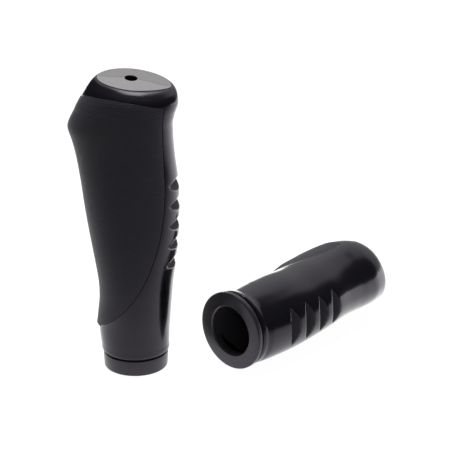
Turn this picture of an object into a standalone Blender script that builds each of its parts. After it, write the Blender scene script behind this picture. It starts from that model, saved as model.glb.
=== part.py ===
"""A pair of ergonomic handlebar grips: a long one standing on its open end, and a short flanged one
lying on its side. Each grip is a rigid core sleeve, an overmoulded body and an inset palm pad.

Both grips are drawn in a grip frame: z runs along the bore from the open end to the closed end,
+x points to the fingers, -x to the palm wing, -y to the pad side and +y to the smooth side.
The short grip is the mirror image, for the other hand. Units are metres, and +Z is up.
"""
import math

import bmesh
import bpy
from mathutils import Vector

MM = 0.001
GAP = 0.3 * MM

# Bore and sleeve
BORE_RADIUS = 11.1 * MM
SLEEVE_RADIUS = 12.2 * MM
SEAT_RADIUS = SLEEVE_RADIUS + GAP
BORE_CHAMFER = 0.6 * MM
END_WALL = 8.0 * MM
VENT_RADIUS = 2.5 * MM

# Long grip: collar and lip
LONG_LENGTH = 130.0 * MM
COLLAR_RADIUS = 14.0 * MM
COLLAR_TOP_RADIUS = 14.4 * MM
COLLAR_HEIGHT = 7.2 * MM
COLLAR_ROUNDING = 0.5 * MM
LONG_NECK_RADIUS = 13.2 * MM
LONG_LIP = 8.1 * MM

# Short grip: flange and lip
SHORT_LENGTH = 90.5 * MM
FLANGE_RADIUS = 17.7 * MM
FLANGE_THICKNESS = 2.5 * MM
FLANGE_ROUNDING = 0.6 * MM
SHORT_NECK_RADIUS = 14.6 * MM
SHORT_LIP = 3.7 * MM
LIP_BEAD_RADIUS = 17.0 * MM
LIP_BEAD_WIDTH = 5.5 * MM

# Reach of the body from the bore axis, in millimetres, at each distance from the closed end:
# (distance, finger side, palm wing, pad side, smooth side)
LONG_REACH = (
    (122.0, 14.8, 14.8, 14.8, 14.8),
    (112.0, 15.2, 15.9, 15.2, 14.9),
    (105.0, 15.8, 15.3, 15.8, 15.1),
    (97.0, 16.5, 14.5, 16.4, 15.4),
    (89.0, 17.3, 14.7, 17.0, 15.7),
    (80.0, 18.5, 16.0, 17.3, 15.9),
    (68.0, 19.8, 18.0, 17.3, 16.4),
    (55.0, 20.3, 20.0, 16.4, 16.7),
    (43.0, 20.0, 21.5, 15.3, 17.0),
    (32.0, 18.7, 23.3, 14.2, 17.2),
    (25.0, 18.1, 25.0, 14.0, 17.3),
    (19.5, 17.9, 26.7, 14.0, 17.3),
    (16.5, 17.9, 26.2, 14.0, 17.3),
)
SHORT_REACH = (
    (87.3, 17.0, 15.0, 17.0, 15.6),
    (80.0, 18.5, 15.8, 17.7, 16.1),
    (70.0, 19.8, 16.8, 17.8, 16.7),
    (60.0, 20.4, 16.7, 17.5, 17.1),
    (50.0, 20.5, 16.5, 16.6, 16.9),
    (40.0, 20.0, 20.6, 15.5, 17.3),
    (30.0, 18.5, 23.2, 14.4, 17.6),
    (22.0, 17.9, 25.6, 14.0, 18.1),
    (16.5, 17.9, 26.2, 14.0, 18.6),
)
# The crown closes the last stretch, from its base at 0 to the rim of the end face at 1:
# (fraction of the way, finger side, palm wing, pad side, smooth side, sideways shift)
LONG_CROWN = (
    (0.00, 18.9, 24.3, 14.0, 16.5, 0.0),
    (0.20, 19.6, 23.2, 14.0, 16.7, 0.1),
    (0.40, 20.1, 21.7, 14.0, 16.8, 0.4),
    (0.60, 20.0, 20.0, 13.9, 16.8, 0.9),
    (0.80, 19.4, 18.1, 12.7, 16.6, 1.7),
    (0.92, 18.4, 16.6, 10.0, 16.3, 2.4),
    (1.00, 17.0, 15.1, 6.7, 15.8, 3.0),
)
SHORT_CROWN = (
    (0.00, 17.9, 24.8, 14.0, 18.8, 0.0),
    (0.20, 17.7, 23.0, 14.0, 18.6, 0.0),
    (0.40, 17.2, 21.1, 14.0, 18.2, 0.1),
    (0.60, 16.6, 19.3, 14.0, 17.6, 0.2),
    (0.80, 15.9, 17.3, 14.0, 16.6, 0.3),
    (0.92, 15.3, 15.9, 13.9, 15.7, 0.4),
    (1.00, 14.6, 14.6, 13.6, 14.7, 0.4),
)
FLATTENING = 0.7
CROWN_HEIGHT = 12.0 * MM
CROWN_ROWS = (0.0, 0.3, 0.6, 0.85, 1.0)

# Finger notches: straight V grooves across the finger side, counted from the closed end
NOTCH_PITCH = 9.05 * MM
NOTCH_DEPTH = 3.2 * MM
NOTCH_OPEN_SIDE = 2.9 * MM
NOTCH_CLOSED_SIDE = 2.6 * MM
NOTCH_LENGTH = 40.0 * MM
NOTCH_CUTTER_SIZE = 3.0

# Palm pad: angles run round the bore axis, from the finger side at 0
PAD_SEAT_DEPTH = 0.7 * MM
PAD_PROUD = 1.2 * MM
PAD_SHOULDER_GROWTH = 0.4
PAD_SMOOTH_EDGE = math.radians(-267.0)
PAD_TIP = math.radians(-174.0)
PAD_TOP_LEVEL = 8.8 * MM
PAD_TOP_TILT = 0.378
PAD_TOP_TILT_TOWARDS = math.radians(-112.0)
PAD_SMOOTH_BEND = 2.6
PAD_TIP_BLUNTNESS = 0.01

# Where the grips lie
LONG_PLACE = Vector((-15.7 * MM, -48.8 * MM, 0.0))
LONG_TURN = math.radians(38.3)
SHORT_PLACE = Vector((17.8 * MM, -23.3 * MM, 17.92 * MM))
SHORT_ROLL = math.radians(-2.0)

# Insets of the pad's edge and of its seat's edge from the line between pad and body
PAD_INSET = 1.5 * GAP
SEAT_INSET = 0.5 * GAP

# Mesh fineness
PAD_STEPS = 18
BODY_STEPS = 12
RING_SPACING = 6.5 * MM
ROUND_STEPS = 32
PAD_TIP_ROWS = (0.12, 0.35)
# The pad's rows are level up to a fraction of its height, then fan out to its slanted upper edge
PAD_FAN_START = 0.6
PAD_LAST_LEVEL = 1.15
MEAN_RADIUS = 16.0 * MM
RIM_LEVEL = 2.0
LOWEST_PAD_TOP = 0.5
HIGHEST_PAD_TOP = 1.9
HALVINGS = 30
SHARP_ANGLE = math.radians(35.0)

GLOSSY_RUBBER = {"color": (0.010, 0.009, 0.012, 1.0), "roughness": 0.18}
MATTE_RUBBER = {"color": (0.016, 0.016, 0.018, 1.0), "roughness": 0.62}
SLEEVE_PLASTIC = {"color": (0.014, 0.013, 0.016, 1.0), "roughness": 0.38}

LONG = {
    "name": "long_grip",
    "length": LONG_LENGTH,
    "lip": LONG_LIP,
    "bead": 0.0,
    "mirror": 1.0,
    "notches": 5,
    "notch_first": 43.0 * MM,
    "reach": LONG_REACH,
    "crown": LONG_CROWN,
    "face_fall": 0.115,
    "face_rise": 0.115,
    "vent": Vector((-0.7 * MM, 5.7 * MM)),
    "pad_tip": 20.0 * MM,
    "pad_finger_edge": math.radians(-28.0),
    "pad_finger_bend": 0.6,
    "pad_finger_straight": 105.0 * MM,
    "pad_smooth_straight": 105.0 * MM,
    "pad_fade": 15.0 * MM,
}
SHORT = {
    "name": "short_grip",
    "length": SHORT_LENGTH,
    "lip": SHORT_LIP,
    "bead": LIP_BEAD_RADIUS,
    "mirror": -1.0,
    "notches": 4,
    "notch_first": 41.5 * MM,
    "reach": SHORT_REACH,
    "crown": SHORT_CROWN,
    "face_fall": 0.07,
    "face_rise": -0.086,
    "vent": Vector((0.0, 0.7 * MM)),
    "pad_tip": 19.0 * MM,
    "pad_finger_edge": math.radians(-64.0),
    "pad_finger_bend": 0.7,
    "pad_finger_straight": 42.0 * MM,
    "pad_smooth_straight": 75.0 * MM,
    "pad_fade": 18.0 * MM,
}


def clear_scene():
    for thing in list(bpy.data.objects):
        bpy.data.objects.remove(thing, do_unlink=True)


def material(name, look):
    made = bpy.data.materials.new(name)
    made.use_nodes = True
    shader = made.node_tree.nodes["Principled BSDF"]
    shader.inputs["Base Color"].default_value = look["color"]
    shader.inputs["Roughness"].default_value = look["roughness"]
    shader.inputs["Metallic"].default_value = 0.0
    return made


def smooth_rows(rows, position):
    """Read a table at a position, on a smooth curve through its rows."""
    place = [row[0] for row in rows]
    last = len(rows) - 1
    rising = place[last] > place[0]
    i = 0
    while i < last - 1 and (place[i + 1] < position) == rising and place[i + 1] != position:
        i += 1
    span = place[i + 1] - place[i]
    t = min(max((position - place[i]) / span, 0.0), 1.0)
    before = max(i - 1, 0)
    after = min(i + 2, last)
    values = []
    for column in range(1, len(rows[0])):
        start = rows[i][column]
        end = rows[i + 1][column]
        slope_in = (end - rows[before][column]) / (place[i + 1] - place[before]) * span
        slope_out = (rows[after][column] - start) / (place[after] - place[i]) * span
        value = (2 * t**3 - 3 * t**2 + 1) * start + (t**3 - 2 * t**2 + t) * slope_in
        value += (3 * t**2 - 2 * t**3) * end + (t**3 - t**2) * slope_out
        values.append(value)
    return values


def smooth_step(value):
    t = min(max(value, 0.0), 1.0)
    return t * t * (3.0 - 2.0 * t)


def outline_point(finger, palm, pad, smooth, shift, angle):
    """A point of a section made of four quarters round (0, shift).

    The quarters between fingers and smooth side and between palm and pad side are elliptical, and
    the other two are flatter, the more so the further the section reaches along x.
    """
    cosine = math.cos(angle)
    sine = math.sin(angle)
    along = finger if cosine > 0 else palm
    across = smooth - shift if sine > 0 else pad + shift
    power = 2.0
    if (cosine > 0) != (sine > 0):
        power -= FLATTENING * min(max(along / across - 1.0, 0.0), 1.0)
    reach = (abs(cosine / along) ** power + abs(sine / across) ** power) ** (-1.0 / power)
    return Vector((reach * cosine, shift + reach * sine))


def face_height(grip, point):
    """Height of the slanted end face over a point of the section."""
    return grip["length"] - grip["face_fall"] * point.x + grip["face_rise"] * point.y


def body_point(grip, z, angle):
    """A point of the body below the crown."""
    rows = grip["reach"] + ((CROWN_HEIGHT / MM,) + grip["crown"][0][1:5],)
    finger, palm, pad, smooth = smooth_rows(rows, (grip["length"] - z) / MM)
    flat = outline_point(finger * MM, palm * MM, pad * MM, smooth * MM, 0.0, angle)
    if grip["bead"]:
        weight = 1.0 - smooth_step((z - grip["lip"]) / LIP_BEAD_WIDTH)
        flat = flat.lerp(flat.normalized() * grip["bead"], weight)
    return Vector((flat.x, flat.y, z))


def crown_point(grip, fraction, angle):
    """A point of the crown, at a fraction of the way from its base to the rim."""
    finger, palm, pad, smooth, shift = smooth_rows(grip["crown"], fraction)
    flat = outline_point(finger * MM, palm * MM, pad * MM, smooth * MM, shift * MM, angle)
    base = grip["length"] - CROWN_HEIGHT
    return Vector((flat.x, flat.y, base + fraction * (face_height(grip, flat) - base)))


def pad_top_height(grip, point):
    """Height of the slanted upper edge of the pad over a point of the section."""
    towards = Vector((math.cos(PAD_TOP_TILT_TOWARDS), math.sin(PAD_TOP_TILT_TOWARDS)))
    return grip["length"] - PAD_TOP_LEVEL + PAD_TOP_TILT * point.xy.dot(towards)


def surface_point(grip, level, angle):
    """A point of the outer surface: a level up to 1 is on the body, above it on the crown."""
    base = grip["length"] - CROWN_HEIGHT
    if level <= 1.0:
        return body_point(grip, grip["lip"] + level * (base - grip["lip"]), angle)
    return crown_point(grip, level - 1.0, angle)


def pad_top_level(grip, angle, drop):
    """The level at which the surface meets the pad's upper edge, lowered by drop."""
    low = LOWEST_PAD_TOP
    high = HIGHEST_PAD_TOP
    for _ in range(HALVINGS):
        middle = (low + high) / 2
        point = surface_point(grip, middle, angle)
        if point.z < pad_top_height(grip, point) - drop:
            low = middle
        else:
            high = middle
    return low


def pad_edges(grip, z):
    """Angles of the pad's edge on the finger side and on the smooth side at a height."""
    reach = grip["pad_finger_straight"] - grip["pad_tip"]
    f = min(max((z - grip["pad_tip"]) / reach, PAD_TIP_BLUNTNESS), 1.0)
    straight = grip["pad_finger_edge"]
    finger_edge = straight + (PAD_TIP - straight) * (1.0 - f ** grip["pad_finger_bend"]) ** 2
    reach = grip["pad_smooth_straight"] - grip["pad_tip"]
    g = min(max((z - grip["pad_tip"]) / reach, 0.0), 1.0)
    smooth_edge = PAD_SMOOTH_EDGE + (PAD_TIP - PAD_SMOOTH_EDGE) * (1.0 - g) ** PAD_SMOOTH_BEND
    return finger_edge, smooth_edge


def pad_rise(grip, point, turn):
    """How far the pad stands out of the body, at a fraction of the way from its finger edge to its
    smooth edge: flush at the finger edge and at the upper edge, and rising from its smooth edge over
    a shoulder that is wider further from the tip."""
    finger_edge, smooth_edge = pad_edges(grip, point.z)
    inside = (1.0 - turn) * (finger_edge - smooth_edge) * MEAN_RADIUS
    shoulder = PAD_SHOULDER_GROWTH * max(point.z - grip["pad_tip"], GAP)
    top_fade = smooth_step((pad_top_height(grip, point) - point.z) / grip["pad_fade"])
    return PAD_PROUD * math.sqrt(turn) * smooth_step(inside / shoulder) * top_fade


def pushed(point, amount):
    """A point moved away from the bore axis."""
    flat = point.xy.normalized() * amount
    return Vector((point.x + flat.x, point.y + flat.y, point.z))


def levels_between(grip, first, last):
    """Evenly spaced levels of rings from one to another."""
    height = grip["length"] - CROWN_HEIGHT - grip["lip"]
    count = max(1, round((last - first) * height / RING_SPACING))
    return [first + (last - first) * i / count for i in range(count + 1)]


def level_at(grip, z):
    return (z - grip["lip"]) / (grip["length"] - CROWN_HEIGHT - grip["lip"])


def ring_angles(grip, z, inset):
    """The pad stretch of a ring, then its bare stretch, both running round by falling angle."""
    finger_edge, smooth_edge = pad_edges(grip, z)
    turn = inset / MEAN_RADIUS
    first = finger_edge - turn
    last = smooth_edge + turn
    pad_part = [first + (last - first) * i / PAD_STEPS for i in range(PAD_STEPS + 1)]
    start = smooth_edge - turn
    end = finger_edge - 2 * math.pi + turn
    bare_part = [start + (end - start) * i / BODY_STEPS for i in range(BODY_STEPS + 1)]
    return pad_part, bare_part


def pad_levels(grip, drop):
    """Levels of the pad's rows as fractions of the way from its tip to its upper edge."""
    base = level_at(grip, grip["pad_tip"] + drop)
    rows = levels_between(grip, base, PAD_LAST_LEVEL)
    tip_rows = [base + (rows[1] - base) * share for share in PAD_TIP_ROWS]
    return [(level - base) / (rows[-1] - base) for level in rows[:1] + tip_rows + rows[1:]]


def pad_row(grip, share, angle, drop):
    """The level of one pad row at an angle: rows fan out to meet the slanted upper edge."""
    base = level_at(grip, grip["pad_tip"] + drop)
    plain = base + share * (PAD_LAST_LEVEL - base)
    top = pad_top_level(grip, angle, drop)
    weight = max(0.0, (share - PAD_FAN_START) / (1.0 - PAD_FAN_START)) ** 2
    return plain + weight * (top - PAD_LAST_LEVEL)


def row_height(grip, share, drop):
    """Height of a pad row, as if it were level."""
    base = level_at(grip, grip["pad_tip"] + drop)
    level = base + share * (PAD_LAST_LEVEL - base)
    return grip["lip"] + level * (grip["length"] - CROWN_HEIGHT - grip["lip"])


def body_rings(grip):
    """Rings of the body's outside, with the seat of the pad sunk into it."""
    rings = []
    pad_part, bare_part = ring_angles(grip, grip["pad_tip"], 0.0)
    for level in levels_between(grip, 0.0, level_at(grip, grip["pad_tip"])):
        rings.append([surface_point(grip, level, angle) for angle in pad_part + bare_part])
    for share in pad_levels(grip, 0.0):
        pad_part, bare_part = ring_angles(grip, row_height(grip, share, 0.0), SEAT_INSET)
        ring = []
        for angle in pad_part:
            point = surface_point(grip, pad_row(grip, share, angle, 0.0), angle)
            ring.append(pushed(point, -PAD_SEAT_DEPTH - GAP))
        for angle in bare_part:
            ring.append(surface_point(grip, pad_row(grip, share, angle, 0.0), angle))
        rings.append(ring)
    around = pad_part + bare_part
    edge = [pad_row(grip, 1.0, angle, -GAP) for angle in around]
    for share in CROWN_ROWS:
        levels = [low + share * (RIM_LEVEL - low) for low in edge]
        rings.append([surface_point(grip, level, angle) for level, angle in zip(levels, around)])
    return rings


def inner_rings(grip, around):
    """Rings of the vent hole and of the seat for the sleeve, from the end face to the lip."""
    floor = grip["length"] - END_WALL
    rings = []
    hole = [grip["vent"] + Vector((math.cos(a), math.sin(a))) * VENT_RADIUS for a in around]
    rings.append([Vector((p.x, p.y, face_height(grip, p))) for p in hole])
    rings.append([Vector((p.x, p.y, floor)) for p in hole])
    for z in (floor, grip["lip"]):
        rings.append([Vector((SEAT_RADIUS * math.cos(a), SEAT_RADIUS * math.sin(a), z)) for a in around])
    return rings


def mesh_from_rings(name, rings, mirror):
    """A closed ring-shaped mesh, from rings that follow each other round its section."""
    shell = bmesh.new()
    rows = [[shell.verts.new((p.x, p.y * mirror, p.z)) for p in ring] for ring in rings]
    for low, high in zip(rows, rows[1:] + rows[:1]):
        for i in range(len(low)):
            j = (i + 1) % len(low)
            shell.faces.new((low[i], low[j], high[j], high[i]))
    bmesh.ops.recalc_face_normals(shell, faces=shell.faces)
    bmesh.ops.triangulate(shell, faces=shell.faces)
    return finish_mesh(name, shell)


def finish_mesh(name, shell):
    mesh = bpy.data.meshes.new(name)
    shell.to_mesh(mesh)
    shell.free()
    mesh.shade_smooth()
    mesh.set_sharp_from_angle(angle=SHARP_ANGLE)
    return mesh


def add_object(name, mesh, look, parent):
    made = bpy.data.objects.new(name, mesh)
    mesh.materials.append(material(name, look))
    made.parent = parent
    bpy.context.collection.objects.link(made)
    return made


def notch_cutter(grip, number, parent):
    """A wedge whose edge is the bottom of one finger notch."""
    z = grip["length"] - grip["notch_first"] - number * NOTCH_PITCH
    reach = body_point(grip, z, 0.0).x
    valley = reach - NOTCH_DEPTH
    out = NOTCH_CUTTER_SIZE
    wedge = bmesh.new()
    ends = []
    for y in (-NOTCH_LENGTH / 2, NOTCH_LENGTH / 2):
        corners = (
            (valley, y, z),
            (valley + out * NOTCH_DEPTH, y, z + out * NOTCH_CLOSED_SIDE),
            (valley + out * NOTCH_DEPTH, y, z - out * NOTCH_OPEN_SIDE),
        )
        ends.append([wedge.verts.new(corner) for corner in corners])
    wedge.faces.new(ends[0])
    wedge.faces.new(reversed(ends[1]))
    for i in range(3):
        j = (i + 1) % 3
        wedge.faces.new((ends[0][j], ends[0][i], ends[1][i], ends[1][j]))
    bmesh.ops.recalc_face_normals(wedge, faces=wedge.faces)
    mesh = bpy.data.meshes.new(f"{grip['name']}_notch_{number}")
    wedge.to_mesh(mesh)
    wedge.free()
    cutter = bpy.data.objects.new(mesh.name, mesh)
    cutter.parent = parent
    cutter.hide_render = True
    cutter.display_type = "WIRE"
    bpy.context.collection.objects.link(cutter)
    return cutter


def build_body(grip, parent):
    rings = body_rings(grip)
    pad_part, bare_part = ring_angles(grip, grip["length"], SEAT_INSET)
    rings += inner_rings(grip, pad_part + bare_part)
    name = grip["name"] + "_body"
    body = add_object(name, mesh_from_rings(name, rings, grip["mirror"]), GLOSSY_RUBBER, parent)
    for number in range(grip["notches"]):
        cut = body.modifiers.new(f"notch_{number}", "BOOLEAN")
        cut.operation = "DIFFERENCE"
        cut.object = notch_cutter(grip, number, parent)
    return body


def build_pad(grip, parent):
    """A thin curved shell that fills the seat and swells out of it towards the smooth side."""
    outside = []
    inside = []
    for share in pad_levels(grip, GAP):
        pad_part, _ = ring_angles(grip, row_height(grip, share, GAP), PAD_INSET)
        outer_row = []
        inner_row = []
        for i, angle in enumerate(pad_part):
            base = surface_point(grip, pad_row(grip, share, angle, GAP), angle)
            outer_row.append(pushed(base, pad_rise(grip, base, i / PAD_STEPS)))
            inner_row.append(pushed(base, -PAD_SEAT_DEPTH))
        outside.append(outer_row)
        inside.append(inner_row)
    shell = bmesh.new()
    sheets = []
    for sheet in (outside, inside):
        corners = [[(p.x, p.y * grip["mirror"], p.z) for p in row] for row in sheet]
        sheets.append([[shell.verts.new(corner) for corner in row] for row in corners])
    for sheet in sheets:
        for low, high in zip(sheet, sheet[1:]):
            for i in range(PAD_STEPS):
                shell.faces.new((low[i], low[i + 1], high[i + 1], high[i]))
    outer, inner = sheets
    border = [(r, 0) for r in range(len(outer))]
    border += [(len(outer) - 1, i) for i in range(1, PAD_STEPS + 1)]
    border += [(r, PAD_STEPS) for r in range(len(outer) - 2, -1, -1)]
    border += [(0, i) for i in range(PAD_STEPS - 1, 0, -1)]
    for (r, i), (s, j) in zip(border, border[1:] + border[:1]):
        shell.faces.new((outer[r][i], outer[s][j], inner[s][j], inner[r][i]))
    bmesh.ops.recalc_face_normals(shell, faces=shell.faces)
    bmesh.ops.triangulate(shell, faces=shell.faces)
    name = grip["name"] + "_palm_pad"
    return add_object(name, finish_mesh(name, shell), MATTE_RUBBER, parent)


def build_sleeve(grip, outside, parent):
    """A turned tube: its outside profile from the open end, then the bore."""
    end = grip["length"] - END_WALL - GAP
    profile = [(BORE_RADIUS + BORE_CHAMFER, 0.0)] + outside
    profile += [(SLEEVE_RADIUS, outside[-1][1]), (SLEEVE_RADIUS, end), (BORE_RADIUS, end)]
    profile += [(BORE_RADIUS, BORE_CHAMFER)]
    around = [2 * math.pi * i / ROUND_STEPS for i in range(ROUND_STEPS)]
    rings = [[Vector((r * math.cos(a), r * math.sin(a), z)) for a in around] for r, z in profile]
    name = grip["name"] + "_core_sleeve"
    return add_object(name, mesh_from_rings(name, rings, grip["mirror"]), SLEEVE_PLASTIC, parent)


def collar_profile():
    """Outside of the long sleeve's collar and of the groove above it."""
    r = COLLAR_ROUNDING
    middle = r * (1.0 - math.sqrt(0.5))
    return [
        (COLLAR_RADIUS - r, 0.0),
        (COLLAR_RADIUS - middle, middle),
        (COLLAR_RADIUS, r),
        (COLLAR_TOP_RADIUS, COLLAR_HEIGHT),
        (LONG_NECK_RADIUS, COLLAR_HEIGHT),
        (LONG_NECK_RADIUS, LONG_LIP - GAP),
    ]


def flange_profile():
    """Outside of the short sleeve's flange and of the groove behind it."""
    r = FLANGE_ROUNDING
    return [
        (FLANGE_RADIUS - r, 0.0),
        (FLANGE_RADIUS, r),
        (FLANGE_RADIUS, FLANGE_THICKNESS - r),
        (FLANGE_RADIUS - r, FLANGE_THICKNESS),
        (SHORT_NECK_RADIUS, FLANGE_THICKNESS),
        (SHORT_NECK_RADIUS, SHORT_LIP - GAP),
    ]


def frame_empty(name, place, turn):
    empty = bpy.data.objects.new(name, None)
    empty.location = place
    empty.rotation_euler = turn
    bpy.context.collection.objects.link(empty)
    return empty


def build_grip(grip, outside, place, turn):
    parent = frame_empty(grip["name"] + "_frame", place, turn)
    build_sleeve(grip, outside, parent)
    build_body(grip, parent)
    build_pad(grip, parent)


def main():
    clear_scene()
    build_grip(LONG, collar_profile(), LONG_PLACE, (0.0, 0.0, LONG_TURN))
    build_grip(SHORT, flange_profile(), SHORT_PLACE, (math.radians(-90.0), SHORT_ROLL, 0.0))


main()
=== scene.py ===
"""The looks of a pair of ergonomic handlebar grips: a long one standing on its open end, and a short
flanged one lying on its side.

Each grip is drawn in a grip frame, in metres: z runs along the bore from the open end to the closed
end, +x points to the fingers, -x to the palm wing, -y to the pad side and +y to the smooth side. The
short grip is the mirror image, for the other hand. A surface is an array of points, one row of points
for each ring round the bore.
"""
import math

import bpy
import numpy as np
from mathutils import Euler, Matrix, Vector


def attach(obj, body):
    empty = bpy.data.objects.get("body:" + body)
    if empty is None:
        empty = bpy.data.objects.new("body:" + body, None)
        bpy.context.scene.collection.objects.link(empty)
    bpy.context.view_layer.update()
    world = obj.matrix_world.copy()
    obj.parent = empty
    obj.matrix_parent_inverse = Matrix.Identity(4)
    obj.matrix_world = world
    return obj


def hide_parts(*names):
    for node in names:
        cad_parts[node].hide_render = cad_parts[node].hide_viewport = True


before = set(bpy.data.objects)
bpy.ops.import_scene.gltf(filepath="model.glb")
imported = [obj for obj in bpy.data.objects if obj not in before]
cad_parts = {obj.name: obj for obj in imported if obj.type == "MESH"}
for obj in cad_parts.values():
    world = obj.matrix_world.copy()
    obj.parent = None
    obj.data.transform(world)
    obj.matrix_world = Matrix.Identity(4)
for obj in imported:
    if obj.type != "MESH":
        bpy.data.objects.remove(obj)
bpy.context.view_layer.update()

MM = 0.001

# Bore and sleeve
BORE_RADIUS = 11.1 * MM
SLEEVE_RADIUS = 12.2 * MM
SEAT_RADIUS = 12.5 * MM
BORE_CHAMFER = 0.6 * MM
END_WALL = 8.0 * MM
SLEEVE_SETBACK = 0.3 * MM
VENT_RADIUS = 2.5 * MM

# Collar of the long sleeve, flange of the short sleeve, and the lips of the bodies over them
COLLAR_RADIUS = 14.0 * MM
COLLAR_TOP_RADIUS = 14.4 * MM
COLLAR_HEIGHT = 7.2 * MM
LONG_NECK_RADIUS = 13.2 * MM
FLANGE_RADIUS = 17.7 * MM
FLANGE_THICKNESS = 2.5 * MM
SHORT_NECK_RADIUS = 14.6 * MM
LIP_BEAD_RADIUS = 17.0 * MM
LIP_BEAD_WIDTH = 5.5 * MM

# Roundings of the moulded edges
COLLAR_FOOT_ROUNDING = 0.6 * MM
COLLAR_EDGE_ROUNDING = 0.3 * MM
FLANGE_ROUNDING = 0.6 * MM
LIP_ROUNDING = 0.5 * MM
RIM_ROUNDING = 0.35 * MM
VENT_ROUNDING = 0.35 * MM
PAD_ROUNDING = 0.28 * MM
SEAT_ROUNDING = 0.16 * MM
BORE_EDGE_ROUNDING = 0.15 * MM

# Swelling round the body near its lip, and the shallow line on the end face where the mould halves met
LIP_RING_WIDTH = 1.0 * MM
LIP_RING_PLACE = 1.4 * MM
PARTING_DEPTH = 0.25 * MM
# Turn past the parting line at which the end face changes to the darker copy of its material, painted
# shade on its far half
PARTING_TURN = 0.002

# Reach of the body from the bore axis, in millimetres, at each distance from the closed end:
# (distance, finger side, palm wing, pad side, smooth side)
LONG_REACH = (
    (122.0, 14.8, 14.8, 14.8, 14.8),
    (112.0, 15.2, 15.9, 15.2, 14.9),
    (105.0, 15.8, 15.3, 15.8, 15.1),
    (97.0, 16.5, 14.5, 16.4, 15.4),
    (89.0, 17.3, 14.7, 17.0, 15.7),
    (80.0, 18.5, 16.0, 17.3, 15.9),
    (68.0, 19.8, 18.0, 17.3, 16.4),
    (55.0, 20.3, 20.0, 16.4, 16.7),
    (43.0, 20.0, 21.5, 15.3, 17.0),
    (32.0, 18.7, 23.3, 14.2, 17.2),
    (25.0, 18.1, 25.0, 14.0, 17.3),
    (19.5, 17.9, 26.7, 14.0, 17.3),
    (16.5, 17.9, 26.2, 14.0, 17.3),
)
SHORT_REACH = (
    (87.3, 17.0, 15.0, 17.0, 15.6),
    (80.0, 18.5, 15.8, 17.7, 16.1),
    (70.0, 19.8, 16.8, 17.8, 16.7),
    (60.0, 20.4, 16.7, 17.5, 17.1),
    (50.0, 20.5, 16.5, 16.6, 16.9),
    (40.0, 20.0, 20.6, 15.5, 17.3),
    (30.0, 18.5, 23.2, 14.4, 17.6),
    (22.0, 17.9, 25.6, 14.0, 18.1),
    (16.5, 17.9, 26.2, 14.0, 18.6),
)
# The crown closes the last stretch, from its base at 0 to the rim of the end face at 1:
# (fraction of the way, finger side, palm wing, pad side, smooth side, sideways shift)
LONG_CROWN = (
    (0.00, 18.9, 24.3, 14.0, 16.5, 0.0),
    (0.20, 19.6, 23.2, 14.0, 16.7, 0.1),
    (0.40, 20.1, 21.7, 14.0, 16.8, 0.4),
    (0.60, 20.0, 20.0, 13.9, 16.8, 0.9),
    (0.80, 19.4, 18.1, 12.7, 16.6, 1.7),
    (0.92, 18.4, 16.6, 10.0, 16.3, 2.4),
    (1.00, 17.0, 15.1, 6.7, 15.8, 3.0),
)
SHORT_CROWN = (
    (0.00, 17.9, 24.8, 14.0, 18.8, 0.0),
    (0.20, 17.7, 23.0, 14.0, 18.6, 0.0),
    (0.40, 17.2, 21.1, 14.0, 18.2, 0.1),
    (0.60, 16.6, 19.3, 14.0, 17.6, 0.2),
    (0.80, 15.9, 17.3, 14.0, 16.6, 0.3),
    (0.92, 15.3, 15.9, 13.9, 15.7, 0.4),
    (1.00, 14.6, 14.6, 13.6, 14.7, 0.4),
)
FLATTENING = 0.7
CROWN_HEIGHT = 12.0 * MM

# Finger notches: V grooves across the finger side, with softly rounded edges
NOTCH_PITCH = 9.05 * MM
NOTCH_DEPTH = 3.2 * MM
NOTCH_OPEN_SIDE = 2.9 * MM
NOTCH_CLOSED_SIDE = 2.6 * MM
NOTCH_EDGE = 0.30 * MM
NOTCH_VALLEY = 0.20 * MM
# Points cut deeper than this get the notch rubber, whose low shine paints shade into the notches
NOTCH_SHADE_DEPTH = 0.15 * MM

# Palm pad: angles run round the bore axis, from the finger side at 0
PAD_SEAT_DEPTH = 0.9 * MM
PAD_UNDERSIDE = 0.7 * MM
PAD_PROUD = 1.2 * MM
PAD_SHOULDER_GROWTH = 0.4
PAD_SHOULDER_MIN = 0.3 * MM
PAD_SMOOTH_EDGE = math.radians(-267.0)
PAD_TIP = math.radians(-174.0)
PAD_TOP_LEVEL = 8.8 * MM
PAD_TOP_TILT = 0.378
PAD_TOP_TILT_TOWARDS = math.radians(-112.0)
PAD_SMOOTH_BEND = 2.6
PAD_TIP_BLUNTNESS = 0.01
SEAM = 0.10 * MM
MEAN_RADIUS = 16.0 * MM
PAD_FAN_START = 0.6
PAD_LAST_LEVEL = 1.15
RIB_PITCH = 1.0 * MM
RIB_HEIGHT = 0.10 * MM
RIB_FADE = 0.70 * MM

# Levels on the outer surface: 1 is the top of the body and 2 the rim of the end face
RIM_LEVEL = 2.0
LOWEST_PAD_TOP = 0.5
HIGHEST_PAD_TOP = 1.9

# Mesh fineness
ROW_SPACING = 0.45 * MM
PAD_ROW_SPACING = 0.22 * MM
PAD_COLUMNS = 130
SEAT_COLUMNS = 70
BARE_COLUMNS = 156
ROUND_COLUMNS = 168
CROWN_ROWS = 33
FACE_ROWS = 13
ARC_STEPS = 5
HALVINGS = 30
SHARP_ANGLE = math.radians(40.0)
PAD_SHARP_ANGLE = math.radians(60.0)

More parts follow.
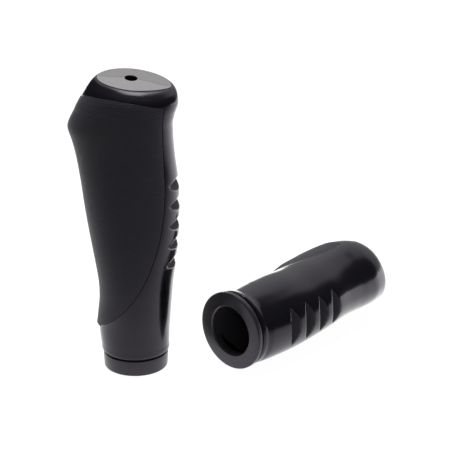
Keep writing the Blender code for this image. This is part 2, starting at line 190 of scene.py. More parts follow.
LONG = {
    "name": "long_grip",
    "length": 130.0 * MM,
    "lip": 8.1 * MM,
    "bead": 0.0,
    "lip_ring": 0.15 * MM,
    "mirror": 1.0,
    "notches": 5,
    "notch_first": 43.0 * MM,
    "reach": LONG_REACH,
    "crown": LONG_CROWN,
    "face_fall": 0.115,
    "face_rise": 0.115,
    "vent": (-0.7 * MM, 5.7 * MM),
    "pad_tip": 20.0 * MM,
    "pad_finger_edge": math.radians(-28.0),
    "pad_finger_bend": 0.6,
    "pad_finger_straight": 105.0 * MM,
    "pad_smooth_straight": 105.0 * MM,
    "pad_fade": 15.0 * MM,
    "place": Vector((-15.7 * MM, -48.8 * MM, 0.0)),
    "turn": Euler((0.0, 0.0, math.radians(38.3))),
}
SHORT = {
    "name": "short_grip",
    "length": 90.5 * MM,
    "lip": 3.7 * MM,
    "bead": LIP_BEAD_RADIUS,
    "lip_ring": 0.35 * MM,
    "mirror": -1.0,
    "notches": 4,
    "notch_first": 41.5 * MM,
    "reach": SHORT_REACH,
    "crown": SHORT_CROWN,
    "face_fall": 0.07,
    "face_rise": -0.086,
    "vent": (0.0, 0.7 * MM),
    "pad_tip": 19.0 * MM,
    "pad_finger_edge": math.radians(-64.0),
    "pad_finger_bend": 0.7,
    "pad_finger_straight": 42.0 * MM,
    "pad_smooth_straight": 75.0 * MM,
    "pad_fade": 18.0 * MM,
    "place": Vector((17.8 * MM, -23.3 * MM, 17.92 * MM)),
    "turn": Euler((math.radians(-90.0), math.radians(-2.0), 0.0)),
}

# Camera
CAMERA_PLACE = Vector((0.5264, -0.5478, 0.3629))
CAMERA_TILT = math.radians(22.17)
CAMERA_AZIMUTH = math.radians(44.29)
CAMERA_LENS = 142.57

# Materials of a body, in the order of its slots
# The two satin slots are a lighter copy of one material and a darker copy, painted shade on the far half
# of the end face; the last slot paints shade into the notches
GLOSSY, SATIN_LIT, SATIN_SHADED, NOTCH_SHADE = range(4)
# Darker and lighter colour of each material, and how strongly the dull rubber shines
GLOSSY_COLOURS = ((0.0056, 0.0050, 0.0068), (0.0076, 0.0069, 0.0090))
# End face: its light grey is partly the frosting and partly a painted sheen, and the darker second copy
# is painted shade on its far half
SATIN_LIT_COLOURS = ((0.145, 0.141, 0.145), (0.175, 0.172, 0.175))
SATIN_SHADED_COLOURS = ((0.115, 0.110, 0.112), (0.14, 0.135, 0.137))
PAD_COLOURS = ((0.031, 0.0292, 0.0355), (0.0385, 0.0365, 0.0435))
PAD_SHINE = 0.22
# Notch rubber: its low shine darkens the notches, a painted shade
NOTCH_SHADE_COLOURS = ((0.021, 0.020, 0.024), (0.028, 0.0265, 0.032))
NOTCH_SHINE = 0.12
SLEEVE_COLOURS = ((0.018, 0.0167, 0.0197), (0.0235, 0.0217, 0.0254))
# Tints of the reflections
GLOSS_TINT = (0.93, 0.86, 1.0)
SATIN_TINT = (1.0, 0.97, 0.99)
# Most of the noise lies between these values
NOISE_LOW = 0.3
NOISE_HIGH = 0.7

# The studio in reflections; heights are the upward part of a direction, from 0 at the horizon
BACKDROP_AZIMUTH = math.radians(25.0)
BACKDROP_EDGE = (0.62, 0.85)
BACKDROP_RISE = (0.10, 0.65)
BACKDROP_LIGHT = (0.45, 0.76)
BACKDROP_TOP = (0.76, 0.85)
ROOM_LIGHT = 0.015
FLOOR_SIZE = 12.0
FLOOR_DROP = 0.2 * MM
FLOOR_GREY = 0.16
FLOOR_SPAN = (-0.20, 0.20)
FLOOR_LIGHT = 2.6
FLOOR_SHOWN = 0.97
# Softboxes: name, place, aim, size and radiance; the first two are not seen in reflections
OVERHEAD = ("overhead", (-0.05, 0.05, 0.60), (0.0, 0.0, 0.0), (0.34, 0.34), 13.5)
FILL = ("fill", (0.40, -0.42, 0.28), (0.0, 0.0, 0.06), (0.40, 0.40), 1.6)
BACK_BOX = ("back_softbox", (-0.215, 0.2135, 0.595), (-0.008, -0.051, 0.128), (0.10, 0.14), 5.5)


# ---------------------------------------------------------------------------------- shape of a grip

def smooth_rows(rows, position):
    """Read a table at many positions, on smooth curves through its rows: one array per column."""
    data = np.array(rows)
    place = data[:, 0]
    values = data[:, 1:]
    if place[-1] < place[0]:
        place = -place
        position = -position
    last = len(place) - 1
    i = np.clip(np.searchsorted(place, position, side="left") - 1, 0, last - 1)
    before = np.maximum(i - 1, 0)
    after = np.minimum(i + 2, last)
    span = place[i + 1] - place[i]
    t = np.clip((position - place[i]) / span, 0.0, 1.0)[..., None]
    start = values[i]
    end = values[i + 1]
    slope_in = (end - values[before]) * (span / (place[i + 1] - place[before]))[..., None]
    slope_out = (values[after] - start) * (span / (place[after] - place[i]))[..., None]
    out = (2 * t**3 - 3 * t**2 + 1) * start + (t**3 - 2 * t**2 + t) * slope_in
    out += (3 * t**2 - 2 * t**3) * end + (t**3 - t**2) * slope_out
    return np.moveaxis(out, -1, 0)


def smoothstep(t):
    t = np.clip(t, 0.0, 1.0)
    return t * t * (3.0 - 2.0 * t)


def outline_points(finger, palm, pad, smooth, shift, angle):
    """Points of a section made of four quarters round (0, shift).

    The quarters between fingers and smooth side and between palm and pad side are elliptical, and
    the other two are flatter, the more so the further the section reaches along x.
    """
    cosine = np.cos(angle)
    sine = np.sin(angle)
    along = np.where(cosine > 0, finger, palm)
    across = np.where(sine > 0, smooth - shift, pad + shift)
    flatter = (cosine > 0) != (sine > 0)
    power = 2.0 - np.where(flatter, FLATTENING * np.clip(along / across - 1.0, 0.0, 1.0), 0.0)
    reach = (np.abs(cosine / along) ** power + np.abs(sine / across) ** power) ** (-1.0 / power)
    return reach * cosine * MM, (shift + reach * sine) * MM


def face_height(grip, x, y):
    """Height of the slanted end face over a point of the section."""
    return grip["length"] - grip["face_fall"] * x + grip["face_rise"] * y


def base_height(grip):
    return grip["length"] - CROWN_HEIGHT


def surface(grip, level, angle):
    """Points of the outer surface: a level up to 1 is on the body, above it on the crown."""
    level, angle = np.broadcast_arrays(level, angle)
    base = base_height(grip)
    z = grip["lip"] + np.minimum(level, 1.0) * (base - grip["lip"])
    rows = grip["reach"] + ((CROWN_HEIGHT / MM,) + grip["crown"][0][1:5],)
    x, y = outline_points(*smooth_rows(rows, (grip["length"] - z) / MM), 0.0, angle)
    if grip["bead"]:
        weight = 1.0 - smoothstep((z - grip["lip"]) / LIP_BEAD_WIDTH)
        round_x = grip["bead"] * x / np.hypot(x, y)
        round_y = grip["bead"] * y / np.hypot(x, y)
        x = x + weight * (round_x - x)
        y = y + weight * (round_y - y)
    ring = grip["lip_ring"] * np.exp(-(((z - grip["lip"] - LIP_RING_PLACE) / LIP_RING_WIDTH) ** 2))
    x = x * (1.0 + ring / np.hypot(x, y))
    y = y * (1.0 + ring / np.hypot(x, y))
    fraction = np.maximum(level - 1.0, 0.0)
    crown_x, crown_y = outline_points(*smooth_rows(grip["crown"], fraction), angle)
    crown_z = base + fraction * (face_height(grip, crown_x, crown_y) - base)
    on_body = level <= 1.0
    points = [np.where(on_body, x, crown_x), np.where(on_body, y, crown_y), np.where(on_body, z, crown_z)]
    return np.stack(points, axis=-1)


def cut_notches(grip, points):
    """Push the points of the finger side in to the V grooves."""
    out = points.copy()
    x = points[..., 0]
    z = points[..., 2]
    for number in range(grip["notches"]):
        middle = grip["length"] - grip["notch_first"] - number * NOTCH_PITCH
        crest = surface(grip, level_at(grip, middle), 0.0)[0]
        off = z - middle
        rise = np.where(off > 0, NOTCH_DEPTH / NOTCH_CLOSED_SIDE, NOTCH_DEPTH / NOTCH_OPEN_SIDE)
        limit = crest - NOTCH_DEPTH + rise * (np.hypot(off, NOTCH_VALLEY) - NOTCH_VALLEY)
        soft = 0.5 * (x + limit - np.hypot(x - limit, NOTCH_EDGE))
        near = np.abs(off) < 0.5 * NOTCH_PITCH
        out[..., 0] = np.where(near & (x > 0.0), np.minimum(out[..., 0], soft), out[..., 0])
    return out


def pad_top_height(grip, x, y):
    """Height of the slanted upper edge of the pad over a point of the section."""
    along = x * math.cos(PAD_TOP_TILT_TOWARDS) + y * math.sin(PAD_TOP_TILT_TOWARDS)
    return grip["length"] - PAD_TOP_LEVEL + PAD_TOP_TILT * along


def pad_top_level(grip, angle, drop):
    """The levels at which the surface meets the pad's upper edge, lowered by drop."""
    low = np.full(np.shape(angle), LOWEST_PAD_TOP)
    high = np.full(np.shape(angle), HIGHEST_PAD_TOP)
    for _ in range(HALVINGS):
        middle = (low + high) / 2
        point = surface(grip, middle, angle)
        below = point[..., 2] < pad_top_height(grip, point[..., 0], point[..., 1]) - drop
        low = np.where(below, middle, low)
        high = np.where(below, high, middle)
    return low


def pad_edges(grip, z):
    """Angles of the pad's edge on the finger side and on the smooth side at a height."""
    reach = grip["pad_finger_straight"] - grip["pad_tip"]
    f = min(max((z - grip["pad_tip"]) / reach, PAD_TIP_BLUNTNESS), 1.0)
    straight = grip["pad_finger_edge"]
    finger_edge = straight + (PAD_TIP - straight) * (1.0 - f ** grip["pad_finger_bend"]) ** 2
    reach = grip["pad_smooth_straight"] - grip["pad_tip"]
    g = min(max((z - grip["pad_tip"]) / reach, 0.0), 1.0)
    smooth_edge = PAD_SMOOTH_EDGE + (PAD_TIP - PAD_SMOOTH_EDGE) * (1.0 - g) ** PAD_SMOOTH_BEND
    return finger_edge, smooth_edge


def pad_rise(grip, points, z, turn):
    """How far one row of the pad stands out of the body, at fractions of the way from its finger edge
    to its smooth edge: flush at the finger edge and at the upper edge, and rising from its smooth edge
    over a shoulder that is wider further from the tip."""
    finger_edge, smooth_edge = pad_edges(grip, z)
    inside = (1.0 - turn) * (finger_edge - smooth_edge) * MEAN_RADIUS
    shoulder = PAD_SHOULDER_GROWTH * max(z - grip["pad_tip"], PAD_SHOULDER_MIN)
    below = pad_top_height(grip, points[..., 0], points[..., 1]) - points[..., 2]
    top_fade = smoothstep(below / grip["pad_fade"])
    return PAD_PROUD * np.sqrt(np.maximum(turn, 0.0)) * smoothstep(inside / shoulder) * top_fade


def level_at(grip, z):
    return (z - grip["lip"]) / (base_height(grip) - grip["lip"])


def height_at(grip, level):
    return grip["lip"] + level * (base_height(grip) - grip["lip"])


def pad_row(grip, share, angle, drop):
    """The levels of one pad row: rows are level at first, then fan out to the slanted upper edge."""
    base = level_at(grip, grip["pad_tip"] + drop)
    plain = base + share * (PAD_LAST_LEVEL - base)
    weight = max(0.0, (share - PAD_FAN_START) / (1.0 - PAD_FAN_START)) ** 2
    return plain + weight * (pad_top_level(grip, angle, drop) - PAD_LAST_LEVEL)


def edge_steps(rounding):
    """Distances from an edge at which a rounding needs a point, and how far each is below the top."""
    turn = np.linspace(0.0, math.pi / 2, ARC_STEPS)
    return rounding * (1.0 - np.cos(turn)), rounding * (1.0 - np.sin(turn))


def pushed(points, amount):
    """Points moved away from the bore axis."""
    flat = points[..., :2] / np.linalg.norm(points[..., :2], axis=-1, keepdims=True)
    moved = points.copy()
    moved[..., :2] += flat * np.broadcast_to(amount, points.shape[:-1])[..., None]
    return moved


# ------------------------------------------------------------------------------------ mesh building

def grip_matrix(grip):
    return Matrix.Translation(grip["place"]) @ grip["turn"].to_matrix().to_4x4()


def add_mesh(grip, name, points, faces, materials, slots=None, sharp=SHARP_ANGLE):
    """A mesh object in the row frame, from points in the grip frame."""
    points = points * np.array((1.0, grip["mirror"], 1.0))
    if grip["mirror"] < 0:
        faces = [face[::-1] for face in faces]
    mesh = bpy.data.meshes.new(name)
    mesh.from_pydata(points.tolist(), [], faces)
    mesh.transform(grip_matrix(grip))
    for material in materials:
        mesh.materials.append(material)
    if slots is not None:
        mesh.polygons.foreach_set("material_index", slots)
    mesh.shade_smooth()
    mesh.set_sharp_from_angle(angle=sharp)
    mesh.update()
    made = bpy.data.objects.new(name, mesh)
    bpy.context.collection.objects.link(made)
    return made


def ring_faces(rows, columns):
    """Quads of a closed ring-shaped skin: rows follow each other round its section."""
    faces = []
    for r in range(rows):
        low = r * columns
        high = (r + 1) % rows * columns
        for c in range(columns):
            d = (c + 1) % columns
            faces.append((low + d, low + c, high + c, high + d))
    return faces


# -------------------------------------------------------------------------------------------- bodies

def body_angles(grip, z):
    """Angles of one ring of the body: the seat of the pad, then the bare side with close edge steps."""
    finger_edge, smooth_edge = pad_edges(grip, z)
    turn = SEAM / 2 / MEAN_RADIUS
    seat = np.linspace(finger_edge - turn, smooth_edge + turn, SEAT_COLUMNS)
    near = edge_steps(SEAT_ROUNDING)[0] / MEAN_RADIUS
    first = smooth_edge - turn
    last = finger_edge - 2 * math.pi + turn
    middle = np.linspace(first - near[-1], last + near[-1], BARE_COLUMNS)
    bare = np.concatenate([first - near[:-1], middle, last + near[-2::-1]])
    return seat, bare


def even_angles(count, start):
    return start - 2 * math.pi * np.arange(count) / count


def body_rows(grip):
    """Rows of the body's outside, from the lip to the rim, with the seat of the pad sunk into it, and
    which points of each row are inside a notch."""
    drops = edge_steps(SEAT_ROUNDING)[1]
    bare_drop = np.zeros(BARE_COLUMNS + 2 * (ARC_STEPS - 1))
    bare_drop[:ARC_STEPS] = drops
    bare_drop[-ARC_STEPS:] = drops[::-1]
    rows = []
    notched = {}
    tip = grip["pad_tip"]
    around = np.concatenate(body_angles(grip, tip))
    even = even_angles(len(around), around[0])
    count = round((tip - grip["lip"]) / ROW_SPACING)
    lip_in, lip_down = edge_steps(LIP_ROUNDING)
    for inward, up in zip(lip_down[:-1], lip_in[:-1]):
        z = grip["lip"] + up
        rows.append(pushed(surface(grip, level_at(grip, z), even), -inward))
    for i in range(count + 1):
        z = grip["lip"] + LIP_ROUNDING + (tip - grip["lip"] - LIP_ROUNDING) * i / count
        weight = smoothstep((z - grip["lip"]) / (tip - grip["lip"]))
        rows.append(surface(grip, level_at(grip, z), even + weight * (around - even)))
    count = round((base_height(grip) - tip) / ROW_SPACING)
    base = level_at(grip, tip)
    for share in np.linspace(0.0, 1.0, count + 1):
        z = height_at(grip, base + share * (PAD_LAST_LEVEL - base))
        seat, bare = body_angles(grip, z)
        floor = pushed(surface(grip, pad_row(grip, share, seat, 0.0), seat), -PAD_SEAT_DEPTH)
        side = surface(grip, pad_row(grip, share, bare, 0.0), bare)
        cut = cut_notches(grip, side)
        # Points deep in a notch get the rubber that paints shade into it
        painted_shade = side[:, 0] - cut[:, 0] > NOTCH_SHADE_DEPTH
        notched[len(rows)] = np.concatenate([np.zeros(len(seat), bool), painted_shade])
        rows.append(np.concatenate([floor, pushed(cut, -bare_drop)]))
    around = np.concatenate([seat, bare])
    edge = pad_row(grip, 1.0, around, 0.0)
    height = grip["length"] - base_height(grip)
    away, down = edge_steps(SEAT_ROUNDING)
    fade = np.ones(len(around))
    fade[SEAT_COLUMNS:] = 0.0
    for up, drop in zip(away, down):
        rows.append(pushed(surface(grip, edge + up / height, around), -drop * fade))
    start = edge + away[-1] / height
    for share in np.linspace(0.0, 1.0, CROWN_ROWS + 1)[1:]:
        level = start + share * (RIM_LEVEL - RIM_ROUNDING / height - start)
        rows.append(surface(grip, level, around))
    return rows, around, notched


def parting_line(around):
    """1 at the columns nearest to the finger side and to the palm, where the mould halves met."""
    marked = np.zeros(len(around))
    for side in (0.0, math.pi):
        marked[np.argmax(np.cos(around - side))] = 1.0
    return marked


def end_rows(grip, around):
    """Rows of the rounded rim, the end face, the vent hole and the inside of the body."""
    rim = surface(grip, RIM_LEVEL, around)
    rows = []
    inward, down = edge_steps(RIM_ROUNDING)
    for inset, drop in zip(inward[1:], down[1:]):
        row = pushed(rim, -inset)
        row[:, 2] = face_height(grip, row[:, 0], row[:, 1]) - drop
        rows.append(row)
    outer = pushed(rim, -RIM_ROUNDING)
    hole = np.stack([np.cos(around), np.sin(around), np.zeros(len(around))], axis=-1)
    vent = np.array((*grip["vent"], 0.0))
    edge = vent + hole * (VENT_RADIUS + VENT_ROUNDING)
    face_start = len(rows)
    for share in np.linspace(0.0, 1.0, FACE_ROWS + 1)[1:]:
        row = outer + share * (edge - outer)
        row[:, 2] = face_height(grip, row[:, 0], row[:, 1])
        if share < 1.0:
            row[:, 2] -= PARTING_DEPTH * parting_line(around)
        rows.append(row)
    face_end = len(rows)
    for inset, drop in zip(down[1:], inward[1:]):
        row = vent + hole * (VENT_RADIUS + VENT_ROUNDING * inset / RIM_ROUNDING)
        row[:, 2] = face_height(grip, row[:, 0], row[:, 1]) - VENT_ROUNDING * drop / RIM_ROUNDING
        rows.append(row)
    floor = grip["length"] - END_WALL
    for middle, radius, z in ((vent, VENT_RADIUS, floor), (0.0, SEAT_RADIUS, floor),
                              (0.0, SEAT_RADIUS, grip["lip"])):
        row = middle + hole * radius
        row[:, 2] = z
        rows.append(row)
    return rows, face_start, face_end


def build_body(grip, materials):
    """The rubber overmould. Its satin end face is split where the mould halves met into a lighter copy of
    its material and a darker copy on the far half, which is painted shade. Inside its notches it has a
    dull rubber whose low shine paints shade into them."""
    rows, around, notched = body_rows(grip)
    ends, face_start, face_end = end_rows(grip, around)
    first = len(rows) + face_start - 1
    last = len(rows) + face_end - 1
    columns = len(around)
    points = np.concatenate(rows + ends)
    count = len(rows) + len(ends)
    slots = np.full((count, columns), GLOSSY)
    # The far half of the end face gets the darker copy: painted shade
    slots[first:last] = np.where(np.sin(around + PARTING_TURN) > 0.0, SATIN_SHADED, SATIN_LIT)
    inside = np.zeros((count, columns), bool)
    for r, mask in notched.items():
        inside[r] = mask
    inside &= np.roll(inside, -1, axis=1)
    # Faces deep in the notches get the rubber that paints shade into them
    slots[:-1][inside[:-1] & inside[1:]] = NOTCH_SHADE
    faces = ring_faces(count, columns)
    name = grip["name"] + "_rubber_body"
    return add_mesh(grip, name, points, faces, materials, slots.ravel().tolist())


# ---------------------------------------------------------------------------------------------- pads

def pad_drop(distance):
    """How far the pad's surface is below its full height at a distance from its edge."""
    inside = np.clip(PAD_ROUNDING - distance, 0.0, PAD_ROUNDING)
    return PAD_ROUNDING - np.sqrt(PAD_ROUNDING**2 - inside**2)


def build_pad(grip, material):
    """A thin curved insert with fine ribs and rounded edges."""
    tip = grip["pad_tip"]
    near = edge_steps(PAD_ROUNDING)[0]
    steps = near / MEAN_RADIUS
    turn = SEAM / 2 / MEAN_RADIUS
    base = level_at(grip, tip + SEAM)
    height = (PAD_LAST_LEVEL - base) * (base_height(grip) - grip["lip"])
    count = round((height - 2 * PAD_ROUNDING) / PAD_ROW_SPACING)
    plain = np.linspace(PAD_ROUNDING, height - PAD_ROUNDING, count)
    travel = np.concatenate([near[:-1], plain, height - near[-2::-1]])
    outer = []
    inner = []
    for way in travel:
        share = way / height
        z = height_at(grip, base + share * (PAD_LAST_LEVEL - base))
        finger_edge, smooth_edge = pad_edges(grip, z)
        first = finger_edge - turn
        final = smooth_edge + turn
        middle = np.linspace(first - steps[-1], final + steps[-1], PAD_COLUMNS)
        angle = np.concatenate([first - steps[:-1], middle, final + steps[-2::-1]])
        skin = surface(grip, pad_row(grip, share, angle, SEAM), angle)
        across = np.minimum(first - angle, angle - final) * MEAN_RADIUS
        edge = np.minimum(across, min(way, height - way))
        share_round = (first - angle) / (first - final)
        proud = pad_rise(grip, skin, z, share_round) - pad_drop(edge)
        ribs = RIB_HEIGHT * 0.5 * (np.cos(2 * math.pi * skin[:, 2] / RIB_PITCH) - 1.0)
        outer.append(pushed(skin, proud + ribs * smoothstep(edge / RIB_FADE)))
        inner.append(pushed(skin, -PAD_UNDERSIDE))
    rows = len(outer)
    columns = len(angle)
    points = np.concatenate(outer + inner)
    under = rows * columns
    faces = []
    for r in range(rows - 1):
        for c in range(columns - 1):
            a = r * columns + c
            b = a + columns
            faces.append((a + 1, a, b, b + 1))
            faces.append((under + a, under + a + 1, under + b + 1, under + b))
    border = list(range(columns))
    border += [r * columns + columns - 1 for r in range(1, rows)]
    border += [(rows - 1) * columns + c for c in range(columns - 2, -1, -1)]
    border += [r * columns for r in range(rows - 2, 0, -1)]
    for a, b in zip(border, border[1:] + border[:1]):
        faces.append((under + b, under + a, a, b))
    name = grip["name"] + "_ribbed_pad"
    return add_mesh(grip, name, points, faces, [material], sharp=PAD_SHARP_ANGLE)


# ------------------------------------------------------------------------------------------- sleeves

def corner(point, before, after, radius):
    """Points of a rounded corner of a profile, between the directions of its two sides."""
    point = Vector(point)
    back = (Vector(before) - point).normalized()
    ahead = (Vector(after) - point).normalized()
    half = back.angle(ahead) / 2
    reach = radius / math.tan(half)
    centre = point + (back + ahead).normalized() * radius / math.sin(half)
    start = point + back * reach - centre
    end = point + ahead * reach - centre
    sweep = start.angle(end)
    out = []
    for i in range(ARC_STEPS):
        t = i / (ARC_STEPS - 1)
        a = math.sin((1 - t) * sweep) / math.sin(sweep)
        b = math.sin(t * sweep) / math.sin(sweep)
        out.append(tuple(centre + start * a + end * b))
    return out


def rounded(profile):
    """A closed profile of (radius, height, rounding) with its corners rounded."""
    points = []
    for i, (r, z, rounding) in enumerate(profile):
        before = profile[i - 1][:2]
        after = profile[(i + 1) % len(profile)][:2]
        if rounding:
            points += corner((r, z), before, after, rounding)
        else:
            points.append((r, z))
    return points


def build_sleeve(grip, outside, material):
    """A turned tube: its outside from the open end, then the bore."""
    end = grip["length"] - END_WALL - SLEEVE_SETBACK
    profile = [(BORE_RADIUS + BORE_CHAMFER, 0.0, BORE_EDGE_ROUNDING)] + outside
    profile += [(SLEEVE_RADIUS, outside[-1][1], 0.0), (SLEEVE_RADIUS, end, 0.0), (BORE_RADIUS, end, 0.0)]
    profile += [(BORE_RADIUS, BORE_CHAMFER, BORE_EDGE_ROUNDING)]
    around = even_angles(ROUND_COLUMNS, 0.0)
    rows = [np.stack([r * np.cos(around), r * np.sin(around), np.full(len(around), z)], axis=-1)
            for r, z in rounded(profile)]
    faces = ring_faces(len(rows), ROUND_COLUMNS)
    return add_mesh(grip, grip["name"] + "_tube", np.concatenate(rows), faces, [material])


def collar_profile():
    return [
        (COLLAR_RADIUS, 0.0, COLLAR_FOOT_ROUNDING),
        (COLLAR_TOP_RADIUS, COLLAR_HEIGHT, COLLAR_EDGE_ROUNDING),
        (LONG_NECK_RADIUS, COLLAR_HEIGHT, 0.0),
        (LONG_NECK_RADIUS, LONG["lip"] - SLEEVE_SETBACK, 0.0),
    ]


def flange_profile():
    return [
        (FLANGE_RADIUS, 0.0, FLANGE_ROUNDING),
        (FLANGE_RADIUS, FLANGE_THICKNESS, FLANGE_ROUNDING),
        (SHORT_NECK_RADIUS, FLANGE_THICKNESS, 0.0),
        (SHORT_NECK_RADIUS, SHORT["lip"] - SLEEVE_SETBACK, 0.0),
    ]


# ----------------------------------------------------------------------------------------- materials

class Look:
    """A Principled material whose fine detail comes from procedural nodes."""

    def __init__(self, name, color, roughness, specular=0.5, tint=GLOSS_TINT):
        self.made = bpy.data.materials.new(name)
        self.made.use_nodes = True
        self.tree = self.made.node_tree
        self.shader = self.tree.nodes["Principled BSDF"]
        self.shader.inputs["Base Color"].default_value = (*color, 1.0)
        self.shader.inputs["Roughness"].default_value = roughness
        self.shader.inputs["Specular IOR Level"].default_value = specular
        self.shader.inputs["Specular Tint"].default_value = (*tint, 1.0)
        self.place = self.tree.nodes.new("ShaderNodeTexCoord").outputs["Object"]

    def noise(self, scale, detail=3.0, rough=0.55):
        node = self.tree.nodes.new("ShaderNodeTexNoise")
        node.inputs["Scale"].default_value = scale
        node.inputs["Detail"].default_value = detail
        node.inputs["Roughness"].default_value = rough
        self.tree.links.new(self.place, node.inputs["Vector"])
        return node.outputs["Fac"]

    def mapped(self, value, low, high):
        node = self.tree.nodes.new("ShaderNodeMapRange")
        node.inputs["From Min"].default_value = NOISE_LOW
        node.inputs["From Max"].default_value = NOISE_HIGH
        node.inputs["To Min"].default_value = low
        node.inputs["To Max"].default_value = high
        self.tree.links.new(value, node.inputs["Value"])
        return node.outputs["Result"]

    def mixed(self, value, dark, light):
        node = self.tree.nodes.new("ShaderNodeMix")
        node.data_type = "RGBA"
        node.inputs["A"].default_value = (*dark, 1.0)
        node.inputs["B"].default_value = (*light, 1.0)
        self.tree.links.new(value, node.inputs["Factor"])
        return node.outputs["Result"]

    def bump(self, value, distance, under=None):
        node = self.tree.nodes.new("ShaderNodeBump")
        node.inputs["Distance"].default_value = distance
        node.inputs["Strength"].default_value = 1.0
        self.tree.links.new(value, node.inputs["Height"])
        if under:
            self.tree.links.new(under, node.inputs["Normal"])
        return node.outputs["Normal"]

    def use(self, socket, value):
        self.tree.links.new(value, self.shader.inputs[socket])


def glossy_rubber():
    """Smooth moulded rubber: a clear gloss with a faint waviness and a few duller clouds."""
    look = Look("glossy_rubber", (0.0065, 0.0058, 0.0076), roughness=0.17)
    clouds = look.noise(scale=55.0)
    look.use("Base Color", look.mixed(clouds, *GLOSSY_COLOURS))
    look.use("Roughness", look.mapped(clouds, low=0.14, high=0.20))
    wave = look.bump(look.noise(scale=160.0, detail=1.0), distance=0.02 * MM)
    grain = look.noise(scale=2600.0, detail=2.0)
    look.use("Normal", look.bump(grain, distance=0.004 * MM, under=wave))
    return look.made


def satin_rubber(name, dark, light):
    """The lightly frosted end face, with the fine grain of its mould. Its light grey is partly the
    frosting and partly a painted sheen; the darker of its two copies is painted shade on the far half.
    """
    look = Look(name, dark, roughness=0.42, tint=SATIN_TINT)
    grain = look.noise(scale=3200.0, detail=4.0, rough=0.65)
    clouds = look.noise(scale=70.0)
    look.use("Base Color", look.mixed(clouds, dark, light))
    look.use("Roughness", look.mapped(clouds, low=0.38, high=0.46))
    look.use("Normal", look.bump(grain, distance=0.03 * MM))
    return look.made


def matte_rubber(name, dark, light, specular):
    """Dull rubber with a fine grain and slightly uneven colour, on the palm pads and in the notches; in
    the notches its low shine is painted shade.
    """
    look = Look(name, dark, roughness=0.6, specular=specular)
    clouds = look.noise(scale=90.0, detail=5.0)
    grain = look.noise(scale=3000.0, detail=4.0, rough=0.7)
    look.use("Base Color", look.mixed(clouds, dark, light))
    look.use("Roughness", look.mapped(grain, low=0.52, high=0.66))
    look.use("Normal", look.bump(grain, distance=0.04 * MM))
    return look.made


def sleeve_plastic():
    """The harder moulded plastic of the tube, its collar and its flange."""
    look = Look("sleeve_plastic", (0.031, 0.029, 0.034), roughness=0.3)
    clouds = look.noise(scale=120.0, detail=4.0)
    look.use("Base Color", look.mixed(clouds, *SLEEVE_COLOURS))
    look.use("Roughness", look.mapped(clouds, low=0.26, high=0.36))
    grain = look.noise(scale=2800.0, detail=3.0)
    look.use("Normal", look.bump(grain, distance=0.012 * MM))
    return look.made


# ------------------------------------------------------------------------------------ floor and light

class StudioNodes:
    """Short names for the math of the studio's light."""

    def __init__(self, tree):
        self.tree = tree

    def math(self, kind, a, b):
        node = self.tree.nodes.new("ShaderNodeMath")
        node.operation = kind
        for socket, value in zip(node.inputs, (a, b)):
            if isinstance(value, (int, float)):
                socket.default_value = value
            else:
                self.tree.links.new(value, socket)
        return node.outputs[0]

    def ramp(self, value, start, end, low, high):
        node = self.tree.nodes.new("ShaderNodeMapRange")
        node.interpolation_type = "SMOOTHSTEP"
        for key, number in (("From Min", start), ("From Max", end), ("To Min", low), ("To Max", high)):
            node.inputs[key].default_value = number
        self.tree.links.new(value, node.inputs["Value"])
        return node.outputs["Result"]

    def ahead(self, place, azimuth=CAMERA_AZIMUTH):
        """How far a point or a direction lies ahead of the camera, and its height."""
        split = self.tree.nodes.new("ShaderNodeSeparateXYZ")
        self.tree.links.new(place, split.inputs[0])
        x, y, z = split.outputs
        return self.math("ADD", self.math("MULTIPLY", x, -math.sin(azimuth)),
                         self.math("MULTIPLY", y, math.cos(azimuth))), z

    def for_camera(self, glow, plain):
        """The glow in reflections, and one plain value where the camera looks."""
        node = self.tree.nodes.new("ShaderNodeMix")
        path = self.tree.nodes.new("ShaderNodeLightPath")
        self.tree.links.new(path.outputs["Is Camera Ray"], node.inputs["Factor"])
        self.tree.links.new(glow, node.inputs["A"])
        node.inputs["B"].default_value = plain
        return node.outputs["Result"]


def build_floor():
    """A floor that is white to the camera; in reflections it is dark in front of the grips and bright
    behind them."""
    bpy.ops.mesh.primitive_plane_add(size=FLOOR_SIZE, location=(0.0, 0.0, -FLOOR_DROP))
    floor = bpy.context.object
    floor.name = "floor"
    pale = bpy.data.materials.new("pale_floor")
    pale.use_nodes = True
    tree = pale.node_tree
    shader = tree.nodes["Principled BSDF"]
    shader.inputs["Base Color"].default_value = (FLOOR_GREY, FLOOR_GREY, FLOOR_GREY, 1.0)
    shader.inputs["Roughness"].default_value = 1.0
    shader.inputs["Specular IOR Level"].default_value = 0.0
    shader.inputs["Emission Color"].default_value = (1.0, 1.0, 1.0, 1.0)
    make = StudioNodes(tree)
    ahead = make.ahead(tree.nodes.new("ShaderNodeTexCoord").outputs["Object"])[0]
    glow = make.ramp(ahead, *FLOOR_SPAN, 0.0, FLOOR_LIGHT)
    tree.links.new(make.for_camera(glow, FLOOR_SHOWN), shader.inputs["Emission Strength"])
    floor.data.materials.append(pale)


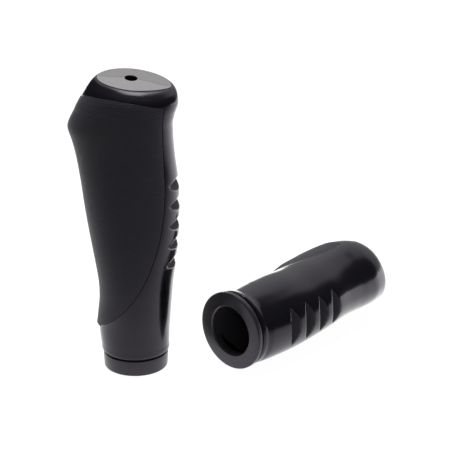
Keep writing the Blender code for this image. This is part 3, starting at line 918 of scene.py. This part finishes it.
def build_world():
    """White to the camera; in reflections a bright backdrop that fades towards the ground and the
    ceiling, and dark beside and behind the camera."""
    world = bpy.data.worlds.new("studio")
    bpy.context.scene.world = world
    world.use_nodes = True
    tree = world.node_tree
    back = tree.nodes["Background"]
    make = StudioNodes(tree)
    ahead, z = make.ahead(tree.nodes.new("ShaderNodeTexCoord").outputs["Generated"], BACKDROP_AZIMUTH)
    # A little over 1, so that the level part of a direction is never zero
    level = make.math("POWER", make.math("SUBTRACT", 1.0001, make.math("MULTIPLY", z, z)), 0.5)
    facing = make.math("DIVIDE", ahead, level)
    height = make.math("MULTIPLY", make.ramp(z, *BACKDROP_RISE, *BACKDROP_LIGHT),
                       make.ramp(z, *BACKDROP_TOP, 1.0, 0.0))
    backdrop = make.math("MULTIPLY", make.ramp(facing, *BACKDROP_EDGE, 0.0, 1.0), height)
    glow = make.math("ADD", backdrop, ROOM_LIGHT)
    tree.links.new(make.for_camera(glow, 1.0), back.inputs["Strength"])
    back.inputs["Color"].default_value = (1.0, 1.0, 1.0, 1.0)


def build_softbox(name, place, aim, size, radiance):
    data = bpy.data.lights.new(name, "AREA")
    data.shape = "RECTANGLE"
    data.size, data.size_y = size
    data.energy = radiance * math.pi * size[0] * size[1]
    box = bpy.data.objects.new(name, data)
    box.location = place
    box.rotation_euler = (Vector(aim) - Vector(place)).to_track_quat("-Z", "Y").to_euler()
    bpy.context.collection.objects.link(box)
    return box


def build_camera():
    data = bpy.data.cameras.new("camera")
    data.lens = CAMERA_LENS
    camera = bpy.data.objects.new("camera", data)
    camera.location = CAMERA_PLACE
    camera.rotation_euler = (math.radians(90.0) - CAMERA_TILT, 0.0, CAMERA_AZIMUTH)
    bpy.context.collection.objects.link(camera)
    bpy.context.scene.camera = camera


# ---------------------------------------------------------------------------------------------- main

def build_grip(grip, outside, looks):
    name = grip["name"]
    body = build_body(grip, [looks["glossy_rubber"], looks["satin_rubber"], looks["satin_rubber_painted_shade"],
                             looks["notch_painted_shade"]])
    pad = build_pad(grip, looks["matte_rubber"])
    sleeve = build_sleeve(grip, outside, looks["sleeve_plastic"])
    for piece, node, slot in (
        (body, name + "_body", "glossy_rubber"),
        (pad, name + "_palm_pad", "matte_rubber"),
        (sleeve, name + "_core_sleeve", "sleeve_plastic"),
    ):
        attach(piece, name)
        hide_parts(node)


def main():
    bpy.context.scene.view_settings.view_transform = "Standard"
    build_camera()
    build_world()
    build_floor()
    build_softbox(*OVERHEAD).visible_glossy = False
    build_softbox(*FILL).visible_glossy = False
    build_softbox(*BACK_BOX)
    looks = {
        "glossy_rubber": glossy_rubber(),
        # Two copies of the satin material: a lighter one, partly a painted sheen, and a darker one,
        # painted shade on the far half of the end face
        "satin_rubber": satin_rubber("satin_rubber", *SATIN_LIT_COLOURS),
        "satin_rubber_painted_shade": satin_rubber("satin_rubber_painted_shade", *SATIN_SHADED_COLOURS),
        "matte_rubber": matte_rubber("matte_rubber", *PAD_COLOURS, PAD_SHINE),
        # The notch rubber paints shade into the notches with its low shine
        "notch_painted_shade": matte_rubber("notch_painted_shade", *NOTCH_SHADE_COLOURS, NOTCH_SHINE),
        "sleeve_plastic": sleeve_plastic(),
    }
    build_grip(LONG, collar_profile(), looks)
    build_grip(SHORT, flange_profile(), looks)


main()
